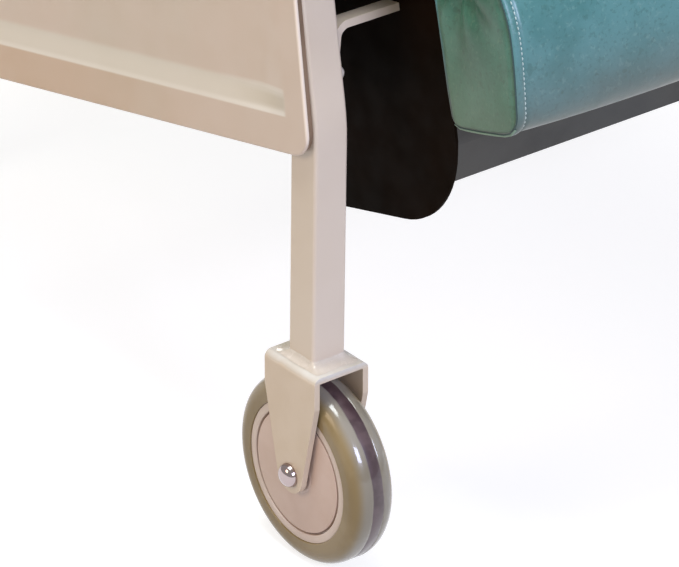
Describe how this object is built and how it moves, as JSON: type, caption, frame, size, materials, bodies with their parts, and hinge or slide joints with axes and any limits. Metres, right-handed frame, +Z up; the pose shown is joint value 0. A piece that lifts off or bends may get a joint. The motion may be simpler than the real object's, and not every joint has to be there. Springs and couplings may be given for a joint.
{
  "type": "patient recliner chair",
  "caption": "Wheeled patient recliner with padded seat, a back and leg rest that recline together, side panels and arm pads.",
  "frame": {"origin": "on the floor under the middle of the chair's overall box", "axes": "+Z up, -Y the way the sitter faces, -X the sitter's right"},
  "size_m": [0.68, 1.024, 1.1816],
  "materials": {
    "frame_paint": "satin powder coat, warm beige",
    "panel_plastic": "moulded, soft sheen",
    "arm_urethane": "moulded urethane, fine grain",
    "tyre_rubber": "smooth grey-olive rubber",
    "hub_plastic": "moulded, satin",
    "bright_chrome": "polished",
    "zinc_steel": "zinc plated",
    "teal_vinyl": "coated upholstery over foam, semi-gloss",
    "dark_cover": "semi-gloss dark brown",
    "plywood": "plain board",
    "black_plastic": "moulded, matt",
    "spring_black": "gloss black"
  },
  "bodies": {
    "frame": {"right_front_leg": "frame_paint", "left_front_leg": "frame_paint", "right_rear_leg": "frame_paint", "left_rear_leg": "frame_paint", "right_arm_rail": "frame_paint", "left_arm_rail": "frame_paint", "side_rails": "frame_paint", "seat_rails": "frame_paint", "cross_tubes": "frame_paint", "right_side_panel": "panel_plastic", "left_side_panel": "panel_plastic", "panel_screws": "zinc_steel", "right_front_fork": "frame_paint", "left_front_fork": "frame_paint", "front_axles": "bright_chrome", "front_axle_nuts": "bright_chrome", "caster_sockets": "zinc_steel", "right_arm_pad": "arm_urethane", "left_arm_pad": "arm_urethane", "seat_board": "plywood", "seat_cushion": "teal_vinyl", "cover_cheeks": "dark_cover", "front_cover": "dark_cover", "cover_brackets": "frame_paint", "legrest_brackets": "frame_paint", "back_brackets": "frame_paint", "spring_anchor": "frame_paint", "lever_pin": "zinc_steel"},
    "right_front_wheel": {"right_front_tyre": "tyre_rubber", "right_front_hub": "hub_plastic"},
    "left_front_wheel": {"left_front_tyre": "tyre_rubber", "left_front_hub": "hub_plastic"},
    "right_caster": {"right_caster_fork": "zinc_steel", "right_caster_pins": "zinc_steel"},
    "left_caster": {"left_caster_fork": "zinc_steel", "left_caster_pins": "zinc_steel"},
    "right_rear_wheel": {"right_rear_tyre": "tyre_rubber", "right_rear_hub": "hub_plastic"},
    "left_rear_wheel": {"left_rear_tyre": "tyre_rubber", "left_rear_hub": "hub_plastic"},
    "right_brake": {"right_brake_pedal": "black_plastic"},
    "left_brake": {"left_brake_pedal": "black_plastic"},
    "back": {"back_cushion": "teal_vinyl", "back_board": "plywood", "right_back_tube": "frame_paint", "left_back_tube": "frame_paint", "back_cross_tube": "frame_paint", "push_handle": "frame_paint", "back_hinge_plates": "frame_paint", "back_pins": "zinc_steel", "back_lug": "frame_paint"},
    "leg_rest": {"legrest_cushion": "teal_vinyl", "legrest_board": "plywood", "legrest_arms": "frame_paint", "legrest_pins": "zinc_steel"},
    "links": {"sync_links": "frame_paint"},
    "spring_lower": {"spring_rod": "zinc_steel"},
    "spring_upper": {"spring_body": "spring_black"},
    "lever": {"release_lever": "zinc_steel", "release_grip": "black_plastic"}
  },
  "joints": [
    {"name": "right_front_wheel_spin", "type": "hinge", "parent": "frame", "child": "right_front_wheel", "pos_m": [-0.305, -0.3549, 0.0635], "axis": [1, 0, 0], "continuous": true},
    {"name": "right_caster_swivel", "type": "hinge", "parent": "frame", "child": "right_caster", "pos_m": [-0.305, 0.2351, 0.142], "axis": [0, 0, 1], "continuous": true},
    {"name": "right_rear_wheel_spin", "type": "hinge", "parent": "right_caster", "child": "right_rear_wheel", "pos_m": [-0.305, 0.2731, 0.0635], "axis": [1, 0, 0], "continuous": true},
    {"name": "right_brake_press", "type": "hinge", "parent": "right_caster", "child": "right_brake", "pos_m": [-0.305, 0.2911, 0.133], "axis": [-1, 0, 0], "range_deg": [0, 12]},
    {"name": "left_front_wheel_spin", "type": "hinge", "parent": "frame", "child": "left_front_wheel", "pos_m": [0.305, -0.3549, 0.0635], "axis": [1, 0, 0], "continuous": true},
    {"name": "left_caster_swivel", "type": "hinge", "parent": "frame", "child": "left_caster", "pos_m": [0.305, 0.2351, 0.142], "axis": [0, 0, 1], "continuous": true},
    {"name": "left_rear_wheel_spin", "type": "hinge", "parent": "left_caster", "child": "left_rear_wheel", "pos_m": [0.305, 0.2731, 0.0635], "axis": [1, 0, 0], "continuous": true},
    {"name": "left_brake_press", "type": "hinge", "parent": "left_caster", "child": "left_brake", "pos_m": [0.305, 0.2911, 0.133], "axis": [-1, 0, 0], "range_deg": [0, 12]},
    {"name": "back_recline", "type": "hinge", "parent": "frame", "child": "back", "pos_m": [0, 0.1131, 0.44], "axis": [-1, 0, 0], "range_deg": [0, 45]},
    {"name": "legrest_lift", "type": "hinge", "parent": "frame", "child": "leg_rest", "pos_m": [0, -0.4289, 0.521], "axis": [-1, 0, 0], "range_deg": [0, 75.01]},
    {"name": "link_turn", "type": "hinge", "parent": "leg_rest", "child": "links", "pos_m": [0, -0.40981, 0.48025], "axis": [-1, 0, 0], "range_deg": [-75.26, 0]},
    {"name": "spring_tilt", "type": "hinge", "parent": "frame", "child": "spring_lower", "pos_m": [0, -0.0029, 0.235], "axis": [-1, 0, 0], "range_deg": [0, 3.01]},
    {"name": "spring_stroke", "type": "slide", "parent": "spring_lower", "child": "spring_upper", "axis": [0, 0.7429, 0.6694], "range_m": [-0.06301, 0]},
    {"name": "release_pull", "type": "hinge", "parent": "frame", "child": "lever", "pos_m": [0.2843, -0.1899, 0.67531], "axis": [-1, 0, 0], "range_deg": [0, 12], "stiffness_Nm_per_rad": 1, "springref_deg": -14.32}
  ],
  "couplings": [
    {"joint": "legrest_lift", "follows": "back_recline", "ratio": 1.6667},
    {"joint": "link_turn", "follows": "back_recline", "ratio": -1.6722},
    {"joint": "spring_tilt", "follows": "back_recline", "ratio": 0.066667},
    {"joint": "spring_stroke", "follows": "back_recline", "m_per_rad": -0.080214}
  ]
}
